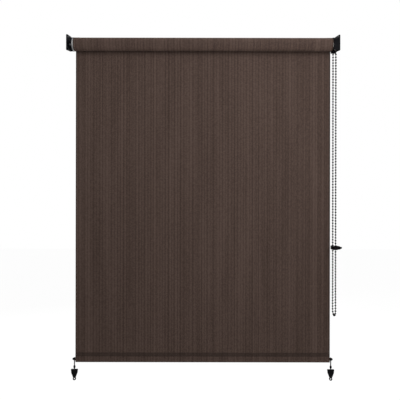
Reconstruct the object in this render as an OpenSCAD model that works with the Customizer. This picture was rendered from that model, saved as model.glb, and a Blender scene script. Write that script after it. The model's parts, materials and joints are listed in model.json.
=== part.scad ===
/* [Cloth] */
// Width of the cloth
cloth_w = 1219; // [900:1:1800]
// Height from the roll's axis down to the middle of the bottom rail
drop = 1500; // [1200:1:2000]
// Thickness of the knitted cloth
cloth_t = 0.9; // [0.7:0.1:1.2]
// Layers of cloth that stay on the tube
layers_left = 3; // [2:1:4]
// Upright ribs across the knit
ribs = 110; // [40:1:120]

/* [Roller] */
// Outer diameter of the roller tube
tube_d = 57; // [54:0.5:60]
// Wall of the roller tube
tube_wall = 1.6; // [1.2:0.1:2]
// Distance of the roll's axis in front of the wall
axis_out = 56.5; // [54:0.5:60]
// Distance of the roll's axis below the middle of the wall screws
axis_below = 16.5; // [14:0.5:20]

/* [Brackets] */
// Gap from the cloth's edge to the bracket's side plate
bracket_gap = 26; // [25.5:0.5:30]
// Thickness of the bracket's steel
plate_t = 2.5; // [2:0.5:3]
// Depth of the bracket from the wall
bracket_depth = 84; // [80:1:88]
// Wall of the moulded bracket cover
cover_wall = 1.6; // [1.2:0.1:2]
// Width of the wall flange
flange_w = 42; // [38:1:44]
// Height between the two wall screws of a flange
screw_spacing = 40; // [34:1:44]
// Diameter of the wall screw holes
screw_hole_d = 5.5; // [4.5:0.1:6]

/* [Chain] */
// Distance from bead to bead
bead_pitch = 13.2; // [12.9:0.1:13.4]
// Diameter of a bead
bead_d = 8.2; // [7:0.1:8.4]
// Diameter of the chain's cord
strand_d = 2.2; // [1.6:0.1:2.4]
// Pitches of chain in each straight run
run_pitches = 95; // [80:1:110]
// Height of the chain guide below the roll's axis
guide_below = 960; // [700:1:1000]

/* [Bottom rail] */
// Height of the rail's tube
rail_h = 28; // [26:0.5:30]
// Depth of the rail's tube
rail_depth = 20; // [18:0.5:20]
// Wall of the rail's tube
rail_wall = 1.4; // [1.2:0.1:1.8]
// Height of the sewn hem above the rail
hem_h = 20; // [15:1:25]

/* [Hold-downs] */
// Largest diameter of the swivel knob
knob_d = 17; // [15:0.5:17]
// Diameter of the elastic cord
cord_d = 5; // [4:0.1:5]
// Height of the hook's top below the knob's middle
hook_below = 49; // [46:1:60]
// Width of the hook
hook_w = 33; // [28:1:33]
// Height of the hook's shield above its ring
hook_h = 42; // [38:1:46]
// Thickness of the hook
hook_t = 8; // [7:0.5:8]
// Hole of the hook's ring
ring_hole_d = 7; // [6:0.5:8]

/* [Hidden] */

$fn = 64;
cloth_colour = "#4b3f3a";
black = "#17181c";
moulded = "#26272c";
alloy = "#a9aaa8";
steel = "#8d8f92";
white_plastic = "#d9d8d2";

// Clearances
fit_gap = 0.05;
cloth_gap = 0.3;
slide_gap = 0.1;

// The roll's axis and the cloth
axis_y = -axis_out;
axis_z = -axis_below;
edge_x = cloth_w / 2;
tube_r = tube_d / 2;
bore_r = tube_r - tube_wall;
roll_r = tube_r + fit_gap + layers_left * cloth_t;
panel_front = axis_y + roll_r + cloth_gap;
panel_back = panel_front + cloth_t;
rib_h = 0.25;
rib_pitch = cloth_w / ribs;

// Brackets, seen from the side as distances from the axis
plate_x = edge_x + bracket_gap;
outer_x = plate_x + plate_t;
cover_x = outer_x + 1.4 + cover_wall;
front_top = 38;
front_bottom = 32;
wall_top = 50;
wall_bottom = 17;
bush_d = 16;
pin_d = 10;
hub_d = 22;
spigot_d = 20;
seat_d = 48;
seat_t = 3;
hub_screw_out = 17;
hub_screw_d = 4;

// Roller ends along the axis
tube_left = -edge_x - 6.5;
tube_right = edge_x - 2;
lip = 3;
key_w = 4;
key_h = 2;
plug_len = 46;
hub_end = edge_x - 54;
plug_end = hub_end + 5;
chamber_d = 30;
sleeve_d = 38;
sleeve_end = edge_x - 10;
dog_w = 6;
dog_r = 21.5;
clip_d = 28;
clip_groove_d = 19;
clip_t = 1.2;

// Idler pin
pin_tip = -plate_x - 0.5;
collar_d = 16;
collar_t = 4;
tail_d = 6;
chamber_left = tube_left + 7;
chamber_right = tube_left + plug_len - 4;
spring_wire = 1.2;
spring_turns = 7;
coil_steps = 14;

// Chain
pockets = 12;
pitch_r = bead_pitch / (2 * sin(180 / pockets));
chain_x = edge_x + 11.5;
run_h = run_pitches * bead_pitch;
wheel_w = 14;
wheel_left = chain_x - wheel_w / 2;
cheek_t = 1.5;
guard_in = pitch_r + bead_d / 2 + 1;
guard_wall = 2;
guard_drop = 33;
guard_left = edge_x + 1.8;
guide_h = 16;
guide_z = axis_z - guide_below;
guide_hole_d = bead_d + 1.4;
guide_rim = 1.5;
post_x = chain_x + 25;
post_d = 13;
guide_screw_d = 4.5;
guide_tip = 5;
guide_tip_h = 8;

// Bottom rail and hold-downs
rail_z = axis_z - drop;
pocket_gap = 0.1;
pocket_bulge = 1.5;
rail_y = panel_front - pocket_bulge + cloth_t + pocket_gap + rail_depth / 2;
rail_corner = rail_depth / 2 - 1;
cap_t = 3;
cap_plug = 15;
hem_top = rail_z + rail_h / 2 + hem_h;
stud_d = 6;
stud_len = 12;
knob_len = 15.2;
knob_mid = 6.5;
knob_x = edge_x + cloth_gap + knob_mid;
knob_bore_r = stud_d / 2 + fit_gap;
cord_seat = 4.6;
cord_in_hook = 8;
cord_bead_d = 10;
cord_bead_h = 14;
cord_bead_below = 38;
ring_d = 15;
ring_below = hook_below + hook_h + 4;
ring_t = 6;

function unit(v) = v / norm(v);

// Points of an arc about c
function arc(c, r, from, to, n) =
    [for (i = [0:n]) let (a = from + (to - from) * i / n) c + r * [cos(a), sin(a)]];

// Corner b between a and c, rounded with radius r
function fillet(a, b, c, r, n) =
    let (
        u = unit(a - b),
        v = unit(c - b),
        half = acos(u * v) / 2,
        centre = b + unit(u + v) * r / sin(half),
        p = b + u * r / tan(half) - centre,
        q = b + v * r / tan(half) - centre,
        from = atan2(p[1], p[0]),
        turn = (atan2(q[1], q[0]) - from + 540) % 360 - 180
    )
    arc(centre, r, from, from + turn, n);

// Outline with every corner rounded
function rounded(pts, r, n = 6) =
    let (k = len(pts))
    [for (i = [0:k - 1]) each fillet(pts[(i + k - 1) % k], pts[i], pts[(i + 1) % k], r, n)];

// Rectangle about c with rounded corners
function box_outline(c, w, h, r, n = 6) =
    rounded([
        c + [-w / 2, -h / 2], c + [w / 2, -h / 2],
        c + [w / 2, h / 2], c + [-w / 2, h / 2]
    ], r, n);

// Heights of the bracket's sloping edges above and below the axis at y
function side_above(y) = wall_top + (wall_top - front_top) * y / bracket_depth;
function side_under(y) = wall_bottom + (wall_bottom - front_bottom) * y / bracket_depth;

// Side of a bracket in Y and Z, grown by g, from the wall end at y
function side_outline(g, y) =
    let (front = -bracket_depth - g)
    [
        [y, axis_z + side_above(y) + g], [y, axis_z - side_under(y) - g],
        [front, axis_z - side_under(front) - g], [front, axis_z + side_above(front) + g]
    ];

// Stands an outline in Y and Z between two places along X
module along_x(x0, x1) {
    translate([x0, 0, 0]) rotate([90, 0, 90]) linear_extrude(x1 - x0) children();
}

// Round bar on the roll's axis
module shaft(x0, x1, d) {
    translate([x0, axis_y, axis_z]) rotate([0, 90, 0]) cylinder(d = d, h = x1 - x0);
}

// Round bar along Y from the wall plane forward
module wall_bore(x, z, d, depth) {
    translate([x, 1, z]) rotate([90, 0, 0]) cylinder(d = d, h = depth + 1);
}

module on_left() {
    mirror([1, 0, 0]) children();
}

// Wire coil on the roll's axis from x0 to x1
module coil(x0, x1, mean_r, wire, turns) {
    sides = 6;
    steps = turns * coil_steps;
    span = x1 - x0 - wire;
    pts = [
        for (i = [0:steps], j = [0:sides - 1])
        let (a = 360 * turns * i / steps, b = 360 * j / sides, r = mean_r + wire / 2 * cos(b))
        [x0 + wire / 2 + span * i / steps + wire / 2 * sin(b),
            axis_y + r * cos(a), axis_z + r * sin(a)]
    ];
    walls = [
        for (i = [0:steps - 1], j = [0:sides - 1])
        let (p = i * sides + j, q = i * sides + (j + 1) % sides)
        [p, p + sides, q + sides, q]
    ];
    first = [for (j = [0:sides - 1]) j];
    last = [for (j = [sides - 1:-1:0]) steps * sides + j];
    polyhedron(pts, concat(walls, [first, last]), convexity = 10);
}

// Folded steel bracket with its wall flange, on the right
module bracket_steel() {
    flange_x = outer_x - flange_w / 2;
    flange_z = axis_z + (wall_top - wall_bottom) / 2;
    difference() {
        union() {
            along_x(plate_x, outer_x) polygon(rounded(side_outline(0, 0), 3));
            rotate([90, 0, 0]) linear_extrude(plate_t)
                polygon(box_outline([flange_x, flange_z], flange_w, wall_top + wall_bottom, 3));
            translate([plate_x, -plate_t - 4, axis_z - wall_bottom + 3])
                cube([plate_t, plate_t + 4, wall_top + wall_bottom - 6]);
        }
        for (s = [-1, 1])
            wall_bore(flange_x, s * screw_spacing / 2, screw_hole_d, plate_t + 1);
    }
}

// Moulded shell over the bracket's outer side, on the right
module bracket_cover() {
    grow = cover_wall + 2 * slide_gap;
    back = -plate_t - 2;
    difference() {
        along_x(plate_x, cover_x) polygon(rounded(side_outline(grow, back), 5));
        along_x(plate_x - 1, cover_x - cover_wall) polygon(rounded(side_outline(slide_gap, 10), 3));
    }
}

module left_bracket() {
    color(black) difference() {
        on_left() bracket_steel();
        shaft(-outer_x - 1, -plate_x + 1, bush_d + 2 * fit_gap);
    }
}

module right_bracket() {
    color(black) difference() {
        bracket_steel();
        shaft(plate_x - 1, outer_x + 1, spigot_d + 2 * fit_gap);
        at_hub_screws() screw_shape(2 * fit_gap);
    }
}

module left_cover() {
    color(black) on_left() bracket_cover();
}

module right_cover() {
    color(black) bracket_cover();
}

// Flanged plastic bush that carries the idler pin
module idler_bush() {
    color(moulded) difference() {
        union() {
            shaft(-outer_x, -plate_x, bush_d);
            shaft(-plate_x, -plate_x + 3.5, bush_d + 6);
        }
        shaft(-outer_x - 1, -plate_x + 5, pin_d + 2 * fit_gap);
    }
}

// Places the hub's screws above and below the axis
module at_hub_screws() {
    for (s = [-1, 1]) translate([0, 0, s * hub_screw_out]) children();
}

// Countersunk screw on the axis, grown by g
module screw_shape(g) {
    head_slope = (2 * plate_t - 1) / plate_t;
    start_d = hub_screw_d + g;
    translate([plate_x, axis_y, axis_z]) rotate([0, 90, 0])
        cylinder(d1 = start_d, d2 = start_d + head_slope * (plate_t + g), h = plate_t + g);
    shaft(plate_x - seat_t - 4 - g, plate_x, start_d);
}

module clutch_screws() {
    color(steel) at_hub_screws() screw_shape(0);
}

// Fixed spindle of the clutch with its seat against the bracket
module clutch_hub() {
    color(moulded) difference() {
        union() {
            shaft(plate_x - seat_t, plate_x, seat_d);
            shaft(plate_x - 1, outer_x, spigot_d);
            shaft(hub_end - 4, plate_x - 1, hub_d);
            at_hub_screws() shaft(plate_x - seat_t - 3.5, plate_x - 1, 9);
        }
        at_hub_screws() shaft(plate_x - seat_t - 5, plate_x + 1, hub_screw_d + 2 * fit_gap);
        difference() {
            shaft(hub_end - clip_t - slide_gap, hub_end + slide_gap, hub_d + 1);
            shaft(hub_end - 3, hub_end + 3, clip_groove_d - 2 * fit_gap);
        }
        shaft(hub_end - 6, hub_end + 40, 8);
    }
}

// Open ring that keeps the drive plug on the hub
module hub_clip() {
    color(steel) difference() {
        shaft(hub_end - clip_t, hub_end, clip_d);
        shaft(hub_end - 3, hub_end + 1, clip_groove_d);
        translate([hub_end - 3, axis_y - 7, axis_z - clip_d]) cube([6, 14, clip_d]);
    }
}

// Brake spring that grips the hub
module wrap_spring() {
    wire = 1.6;
    inside_r = (hub_d / 2 + slide_gap) / cos(180 / coil_steps);
    color(steel) coil(plug_end + 10, sleeve_end - 6, inside_r + wire / 2, wire, 7);
}

// Arched guard over the chain wheel, open below
module chain_guard() {
    centre = [axis_y, axis_z];
    out = guard_in + guard_wall;
    foot = axis_z - guard_drop;
    color(moulded) difference() {
        along_x(guard_left, plate_x) polygon(concat(
            arc(centre, out, 0, 180, 40), [[axis_y - out, foot], [axis_y + out, foot]]
        ));
        along_x(guard_left + guard_wall - 0.4, plate_x + 1) polygon(concat(
            arc(centre, guard_in, 0, 180, 40), [[axis_y - guard_in, foot - 1], [axis_y + guard_in, foot - 1]]
        ));
        shaft(guard_left - 1, guard_left + guard_wall, sleeve_d + 6);
    }
}

// Pocketed wheel that the beads turn, with its sleeve and drive dogs
module chain_wheel() {
    rim_r = pitch_r - 0.5;
    cheek_r = pitch_r + 1.5;
    color(white_plastic) difference() {
        union() {
            shaft(wheel_left, wheel_left + wheel_w, 2 * rim_r);
            for (x = [wheel_left, wheel_left + wheel_w - cheek_t]) shaft(x, x + cheek_t, 2 * cheek_r);
            shaft(sleeve_end, wheel_left + 1, sleeve_d);
            translate([sleeve_end, axis_y - dog_w / 2, axis_z - dog_r])
                cube([edge_x - sleeve_end, dog_w, 2 * dog_r]);
        }
        shaft(sleeve_end - 1, wheel_left + wheel_w + 1, hub_d + 2 * fit_gap);
        translate([chain_x, axis_y, axis_z]) rotate([0, 90, 0]) {
            rotate_extrude() translate([pitch_r, 0]) circle(d = strand_d + 0.8, $fn = 24);
            for (i = [0:pockets - 1]) rotate([0, 0, 360 * i / pockets])
                translate([pitch_r, 0, 0]) sphere(d = bead_d + 0.7, $fn = 32);
        }
    }
}

// Groove along a plug for the key inside the tube
module key_groove(x0, x1) {
    translate([x0, axis_y - key_w / 2 - slide_gap, axis_z + bore_r - key_h - slide_gap])
        cube([x1 - x0, key_w + 2 * slide_gap, key_h + 1]);
}

// Plug that turns the tube from the chain wheel
module drive_plug() {
    color(white_plastic) difference() {
        union() {
            shaft(plug_end - 4, tube_right, 2 * (bore_r - fit_gap));
            shaft(tube_right, tube_right + lip, tube_d);
        }
        shaft(plug_end - 5, tube_right + lip + 1, hub_d + 2 * fit_gap);
        shaft(plug_end + 4, sleeve_end, chamber_d);
        shaft(sleeve_end - slide_gap, tube_right + lip + 1, sleeve_d + 2 * slide_gap);
        translate([sleeve_end - slide_gap, axis_y - dog_w / 2 - slide_gap, axis_z - dog_r - slide_gap])
            cube([lip + 20, dog_w + 2 * slide_gap, 2 * (dog_r + slide_gap)]);
        key_groove(plug_end - 5, tube_right);
    }
}

// Drawn alloy tube with a key along its bore
module roller_tube() {
    color(alloy) union() {
        difference() {
            shaft(tube_left, tube_right, tube_d);
            shaft(tube_left - 1, tube_right + 1, 2 * bore_r);
        }
        translate([tube_left, axis_y - key_w / 2, axis_z + bore_r - key_h])
            cube([tube_right - tube_left, key_w, key_h + tube_wall / 2]);
    }
}

// The turns of cloth on the tube, one strip wound as a spiral that ends at the back
module fabric_roll() {
    steps = 60;
    seam = 0.05;
    total = steps * (layers_left - 1);
    function strip(i, out) =
        let (a = -360 * i / steps, r = tube_r + fit_gap + cloth_t * i / steps + out)
        [axis_y + r * cos(a), axis_z + r * sin(a)];
    color(cloth_colour) along_x(-edge_x, edge_x) polygon(concat(
        [for (i = [0:total]) strip(i, 0)],
        [for (i = [total:-1:0]) strip(i, cloth_t - seam)]
    ));
}

// Left plug of the tube, hollow for the spring and its pin
module idler_plug() {
    color(moulded) difference() {
        union() {
            shaft(tube_left, tube_left + plug_len, 2 * (bore_r - fit_gap));
            shaft(tube_left - lip, tube_left, tube_d);
        }
        shaft(tube_left - lip - 1, chamber_left + 1, pin_d + 2 * fit_gap);
        shaft(chamber_left, chamber_right, collar_d + 1);
        shaft(chamber_right - 1, tube_left + plug_len + 1, tail_d + 2 * fit_gap);
        key_groove(tube_left, tube_left + plug_len + 1);
    }
}

// Sprung pin that drops into the left bracket
module idler_pin() {
    color(steel) union() {
        shaft(pin_tip, chamber_left + collar_t, pin_d);
        shaft(chamber_left + slide_gap, chamber_left + collar_t, collar_d);
        shaft(chamber_left + collar_t, chamber_right + 6, tail_d);
    }
}

module idler_spring() {
    color(steel) coil(chamber_left + collar_t + slide_gap, chamber_right - slide_gap,
        tail_d / 2 + 2.2, spring_wire, spring_turns);
}

// The hanging cloth, ribbed upright on its front face
module fabric_panel() {
    low = hem_top + 0.2;
    color(cloth_colour) translate([0, 0, low]) linear_extrude(axis_z - low) polygon(concat(
        [[edge_x, panel_back], [-edge_x, panel_back]],
        [
            for (i = [0:ribs - 1], s = [0, 0.15, 0.5, 0.65])
            [-edge_x + (i + s) * rib_pitch, panel_front + (s == 0 || s == 0.65 ? rib_h : 0)]
        ],
        [[edge_x, panel_front + rib_h]]
    ));
}

// Endless bead chain, over the wheel and down to its free loop
module bead_chain() {
    module half_turn() {
        rotate_extrude(angle = 180) translate([pitch_r, 0]) circle(d = strand_d, $fn = 24);
        for (i = [0:pockets / 2]) rotate([0, 0, 360 * i / pockets])
            translate([pitch_r, 0, 0]) sphere(d = bead_d, $fn = 32);
    }
    color(black) translate([chain_x, axis_y, axis_z]) {
        rotate([90, 0, 90]) half_turn();
        translate([0, 0, -run_h]) rotate([-90, 0, 90]) half_turn();
        for (s = [-1, 1]) translate([0, s * pitch_r, 0]) {
            translate([0, 0, -run_h]) cylinder(d = strand_d, h = run_h, $fn = 24);
            for (i = [1:run_pitches - 1]) translate([0, 0, -i * bead_pitch]) sphere(d = bead_d, $fn = 32);
        }
    }
}

// Guide that both runs pass through, on a post to the wall
module chain_guide() {
    reach = pitch_r + guide_hole_d / 2 + guide_rim;
    width = 2 * (chain_x - edge_x) - 1;
    post_front = axis_y - 8;
    color(moulded) difference() {
        union() {
            translate([0, 0, guide_z - guide_h / 2]) linear_extrude(guide_h) union() {
                polygon(box_outline([chain_x, axis_y], width, 2 * reach, width / 2 - 1, 10));
                polygon(box_outline([(chain_x + post_x) / 2, axis_y], post_x - chain_x, post_d, 2));
            }
            translate([post_x, 0, guide_z]) rotate([90, 0, 0]) cylinder(d = post_d, h = -post_front);
            translate([0, 0, guide_z - guide_tip_h / 2]) linear_extrude(guide_tip_h)
                polygon(box_outline([post_x + post_d / 2, axis_y], 2 * guide_tip, guide_tip_h, 3));
        }
        for (s = [-1, 1]) translate([chain_x, axis_y + s * pitch_r, guide_z - guide_h])
            cylinder(d = guide_hole_d, h = 2 * guide_h);
        wall_bore(post_x, guide_z, guide_screw_d, -post_front + 1);
    }
}

// Section of the rail's tube, grown by g
module rail_section(g) {
    polygon(box_outline([rail_y, rail_z], rail_depth + 2 * g, rail_h + 2 * g, rail_corner + g, 8));
}

module rail_tube() {
    end = edge_x - cap_t;
    color(alloy) difference() {
        along_x(-end, end) rail_section(0);
        along_x(-end - 1, end + 1) rail_section(-rail_wall);
    }
}

// Cloth sleeve around the rail with its doubled, sewn hem
module rail_pocket() {
    color(cloth_colour) along_x(-edge_x, edge_x) difference() {
        union() {
            rail_section(pocket_gap + cloth_t);
            translate([panel_front, rail_z]) square([2 * cloth_t, hem_top - rail_z]);
        }
        rail_section(pocket_gap);
    }
}

// Moulded end of the rail with the stud that its knob turns on
module rail_cap() {
    color(moulded) union() {
        along_x(edge_x - cap_t, edge_x) rail_section(0);
        along_x(edge_x - cap_t - cap_plug, edge_x - cap_t) rail_section(-rail_wall - slide_gap);
        translate([edge_x - 1, rail_y, rail_z]) rotate([0, 90, 0]) cylinder(d = stud_d, h = stud_len + 1);
    }
}

// Swivel knob with a seat below for the elastic cord
module knob() {
    start = knob_x - knob_mid;
    color(black) translate([0, rail_y, rail_z]) difference() {
        translate([start, 0, 0]) rotate([0, 90, 0]) rotate_extrude() polygon([
            [knob_bore_r, 0], [knob_d / 2 - 3.5, 0], [knob_d / 2, knob_mid],
            [knob_d / 2 - 5, knob_len], [0, knob_len], [0, stud_len + cloth_gap], [knob_bore_r, stud_len + cloth_gap]
        ]);
        translate([knob_x, 0, -knob_d]) cylinder(d = cord_d + 2 * fit_gap, h = knob_d - cord_seat);
    }
}

// Straight elastic cord from the knob into the hook
module elastic_cord() {
    low = hook_below + cord_in_hook;
    color(black) translate([knob_x, rail_y, rail_z - low]) cylinder(d = cord_d, h = low - cord_seat, $fn = 24);
}

// Crimped bead on the cord
module cord_bead() {
    r = cord_bead_d / 2;
    bore = cord_d / 2 + fit_gap;
    h = cord_bead_h / 2;
    color(black) translate([knob_x, rail_y, rail_z - cord_bead_below]) rotate_extrude() polygon([
        [bore, -h], [r - 1.8, -h], [r, -h / 2], [r, h / 2], [r - 1.8, h], [bore, h]
    ]);
}

// Shield-shaped hook plate that ends in a ring
module hook() {
    top = -hook_below;
    ring_z = -ring_below;
    neck = 5;
    color(black) translate([knob_x, rail_y, rail_z]) difference() {
        union() {
            translate([0, hook_t / 2, 0]) rotate([90, 0, 0]) linear_extrude(hook_t) polygon(rounded([
                [-hook_w / 2, top], [-hook_w / 2 + 2, top - hook_h * 0.42], [-neck, top - hook_h],
                [neck, top - hook_h], [hook_w / 2 - 2, top - hook_h * 0.42], [hook_w / 2, top]
            ], 1.8));
            translate([0, ring_t / 2, ring_z]) rotate([90, 0, 0]) cylinder(d = ring_d, h = ring_t);
        }
        translate([0, hook_t, ring_z]) rotate([90, 0, 0]) cylinder(d = ring_hole_d, h = 2 * hook_t);
        translate([0, 0, top - cord_in_hook]) cylinder(d = cord_d + 2 * fit_gap, h = cord_in_hook + 1);
    }
}

module left_rail_cap() { on_left() rail_cap(); }
module right_rail_cap() { rail_cap(); }
module left_knob() { on_left() knob(); }
module right_knob() { knob(); }
module left_cord() { on_left() elastic_cord(); }
module right_cord() { elastic_cord(); }
module left_cord_bead() { on_left() cord_bead(); }
module right_cord_bead() { cord_bead(); }
module left_hook() { on_left() hook(); }
module right_hook() { hook(); }

left_bracket();
right_bracket();
left_cover();
right_cover();
idler_bush();
clutch_hub();
clutch_screws();
hub_clip();
wrap_spring();
chain_guard();
chain_wheel();
drive_plug();
roller_tube();
fabric_roll();
idler_plug();
idler_pin();
idler_spring();
fabric_panel();
bead_chain();
chain_guide();
rail_tube();
rail_pocket();
left_rail_cap();
right_rail_cap();
left_knob();
right_knob();
left_cord();
right_cord();
left_cord_bead();
right_cord_bead();
left_hook();
right_hook();
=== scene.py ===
# %% [markdown]
# # An outdoor roller shade
#
# A dark knitted cloth hangs from a roll between two wall brackets. A bead chain at the right turns the
# roll, and two elastic hold-downs hang from the bottom rail. The shade could be modelled afresh, but its
# solids already have the right sizes and motions. So they are loaded first, as a fixed frame, and each
# later step dresses one piece: the cloth and the chain get finer meshes, and the rigid pieces get softened
# edges and finishes.

# %% Load the frame
import json
import math
import bmesh
import bpy
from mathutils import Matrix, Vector


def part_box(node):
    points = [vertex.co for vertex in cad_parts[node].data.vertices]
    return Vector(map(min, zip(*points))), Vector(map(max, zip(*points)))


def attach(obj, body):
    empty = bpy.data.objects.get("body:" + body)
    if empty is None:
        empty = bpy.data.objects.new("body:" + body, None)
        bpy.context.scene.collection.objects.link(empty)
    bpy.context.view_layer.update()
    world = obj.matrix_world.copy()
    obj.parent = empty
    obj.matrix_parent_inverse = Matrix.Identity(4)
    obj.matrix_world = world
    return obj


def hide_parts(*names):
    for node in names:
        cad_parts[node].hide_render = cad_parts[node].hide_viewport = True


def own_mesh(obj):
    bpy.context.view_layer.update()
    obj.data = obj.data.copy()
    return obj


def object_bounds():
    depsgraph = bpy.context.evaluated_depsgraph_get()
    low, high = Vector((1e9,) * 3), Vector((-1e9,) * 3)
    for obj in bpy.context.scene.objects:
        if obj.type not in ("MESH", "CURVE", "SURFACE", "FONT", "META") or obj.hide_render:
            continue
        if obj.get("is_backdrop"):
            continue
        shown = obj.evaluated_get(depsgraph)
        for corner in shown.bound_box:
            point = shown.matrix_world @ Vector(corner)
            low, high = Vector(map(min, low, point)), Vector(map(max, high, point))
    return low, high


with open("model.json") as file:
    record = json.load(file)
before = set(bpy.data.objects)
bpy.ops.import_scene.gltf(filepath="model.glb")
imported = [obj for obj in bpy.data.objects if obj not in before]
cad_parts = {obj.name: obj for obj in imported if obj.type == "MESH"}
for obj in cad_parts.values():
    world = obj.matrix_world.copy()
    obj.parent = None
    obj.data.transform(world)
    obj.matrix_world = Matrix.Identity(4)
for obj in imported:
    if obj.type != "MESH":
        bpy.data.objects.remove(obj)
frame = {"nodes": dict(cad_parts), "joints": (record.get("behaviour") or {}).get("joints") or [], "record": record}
solids = frame["nodes"]
cad_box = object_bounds()
MM = 0.001


def rounded(numbers, digits=3):
    return [round(number, digits) for number in numbers]


print("solids:", len(solids), "box:", rounded([*cad_box[0], *cad_box[1]]))

# %% [markdown]
# ## Places that everything hangs on
#
# On the real shade everything is set out from the roll's axis and the cloth's edges. These places could be
# typed in as numbers, but the pieces would come apart as soon as a solid changed. So they are read: the
# axis is a joint of the frame, and the boxes of the solids give the edges and planes.

# %% Read the main places
joint_named = {joint["name"]: joint for joint in frame["joints"]}
AXIS = Vector(joint_named["roller_spin"]["pos_m"])
panel_low, panel_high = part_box("fabric_panel")
panel_drop = panel_high.z - panel_low.z
hem_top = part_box("rail_pocket")[1].z
EDGE = panel_high.x
CLOTH_W = 2 * EDGE
CLOTH_T = 0.9 * MM
print("axis", rounded(AXIS, 4), "panel", round(CLOTH_W, 3), "by", round(panel_drop, 4), "m")

# %% [markdown]
# ## Camera
#
# The photograph looks straight at the cloth from about two and a half metres, a little left of its middle
# and at about half its height. A camera could be matched by eye alone, but distance and focal length are
# easily confused that way. Here the distance follows from how much wider the near roll looks than the
# cloth behind it. The roll slopes very slightly to the right, so the camera is turned by a small part of a
# degree.

# %% Place the camera
PICTURE_PX = 400
SENSOR_MM = 36
FOCAL_PX = 510
CAMERA_OUT = 2.444
CAMERA_BELOW_AXIS = 0.735
CAMERA_X = -0.0137
CAMERA_LEVEL_DEG = 90
CAMERA_ROLL_DEG = -0.1


def add_object(name, data):
    made = bpy.data.objects.new(name, data)
    bpy.context.collection.objects.link(made)
    return made


camera = add_object("camera", bpy.data.cameras.new("camera"))
camera.data.sensor_width = SENSOR_MM
camera.data.lens = FOCAL_PX * SENSOR_MM / PICTURE_PX
camera.location = (CAMERA_X, panel_low.y - CAMERA_OUT, AXIS.z - CAMERA_BELOW_AXIS)
camera.rotation_euler = (math.radians(CAMERA_LEVEL_DEG), math.radians(CAMERA_ROLL_DEG), 0)
bpy.context.scene.camera = camera
print("lens", round(camera.data.lens, 1), "mm, camera at", rounded(camera.location))

# %% [markdown]
# ## Node maths as expressions
#
# A knit or a row of ribs is a formula. In the node editor it becomes a long row of linked boxes, which is
# hard to read back. So `Wire` wraps one socket, and its operators add the Math nodes. `Net` wraps a node
# tree, and any other node in it comes from one method. Materials, the world and the geometry trees all use
# these two.

# %% A socket with arithmetic
class Wire:
    def __init__(self, net, socket):
        self.net = net
        self.socket = socket

    def math(self, operation, *values):
        settings = {"operation": operation}
        return self.net.node("ShaderNodeMath", settings, dict(enumerate(values)))

    def __add__(self, other):
        return self.math("ADD", self, other)

    def __sub__(self, other):
        return self.math("SUBTRACT", self, other)

    def __rsub__(self, other):
        return self.math("SUBTRACT", other, self)

    def __mul__(self, other):
        return self.math("MULTIPLY", self, other)

    def __truediv__(self, other):
        return self.math("DIVIDE", self, other)

    def __rtruediv__(self, other):
        return self.math("DIVIDE", other, self)

    __radd__ = __add__
    __rmul__ = __mul__

    def sine(self):
        return self.math("SINE", self)

    def cosine(self):
        return self.math("COSINE", self)

    def size(self):
        return self.math("ABSOLUTE", self)

    def fraction(self):
        return self.math("FRACT", self)

    def floor(self):
        return self.math("FLOOR", self)

    def above(self, other):
        return self.math("GREATER_THAN", self, other)

    def most(self, other):
        return self.math("MAXIMUM", self, other)

    def smooth(self, low, high):
        settings = {"interpolation_type": "SMOOTHSTEP"}
        inputs = {"Value": self, "From Min": low, "From Max": high}
        return self.net.node("ShaderNodeMapRange", settings, inputs)


# %% A node tree with one method for its nodes
class Net:
    def __init__(self, tree):
        self.tree = tree

    def feed(self, socket, value):
        if isinstance(value, Wire):
            self.tree.links.new(value.socket, socket)
        elif isinstance(value, list):
            for wire in value:
                self.feed(socket, wire)
        else:
            socket.default_value = value

    def node(self, kind, settings, inputs, output=0):
        made = self.tree.nodes.new(kind)
        for key, value in settings.items():
            setattr(made, key, value)
        for key, value in inputs.items():
            self.feed(made.inputs[key], value)
        return Wire(self, made.outputs[output]) if made.outputs else None

    def part(self, vector, axis):
        return self.node("ShaderNodeSeparateXYZ", {}, {"Vector": vector}, axis)

    def vector(self, x=0.0, y=0.0, z=0.0):
        return self.node("ShaderNodeCombineXYZ", {}, {"X": x, "Y": y, "Z": z})


# %% A finish is a material's node tree
MIX_SHARE, MIX_FIRST, MIX_SECOND, MIX_RESULT = 0, 6, 7, 2  # the Mix node's sockets for colours


class Finish(Net):
    def __init__(self, name):
        self.material = bpy.data.materials.new(name)
        self.material.use_nodes = True
        super().__init__(self.material.node_tree)
        self.tree.nodes.clear()

    def places(self):
        return self.node("ShaderNodeTexCoord", {}, {}, "Object")

    def chart(self, name):
        return self.node("ShaderNodeUVMap", {"uv_map": name}, {})

    def stretched(self, vector, scale):
        return self.node("ShaderNodeMapping", {}, {"Vector": vector, "Scale": scale})

    def noise(self, vector, scale, detail):
        inputs = {"Vector": vector, "Scale": scale, "Detail": detail}
        return self.node("ShaderNodeTexNoise", {}, inputs)

    def dice(self, x, y):
        settings = {"noise_dimensions": "2D"}
        return self.node("ShaderNodeTexWhiteNoise", settings, {"Vector": self.vector(x, y)})

    def mix(self, share, first, second):
        inputs = {MIX_SHARE: share, MIX_FIRST: first, MIX_SECOND: second}
        return self.node("ShaderNodeMix", {"data_type": "RGBA"}, inputs, MIX_RESULT)

    def bump(self, height, strength, distance):
        inputs = {"Height": height, "Strength": strength, "Distance": distance}
        return self.node("ShaderNodeBump", {}, inputs)

    def principled(self, **values):
        inputs = {key.replace("_", " "): value for key, value in values.items()}
        return self.node("ShaderNodeBsdfPrincipled", {}, inputs)

    def close(self, shader):
        self.node("ShaderNodeOutputMaterial", {}, {"Surface": shader})
        print("finish", self.material.name, "with", len(self.tree.nodes), "nodes")
        return self.material


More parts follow.
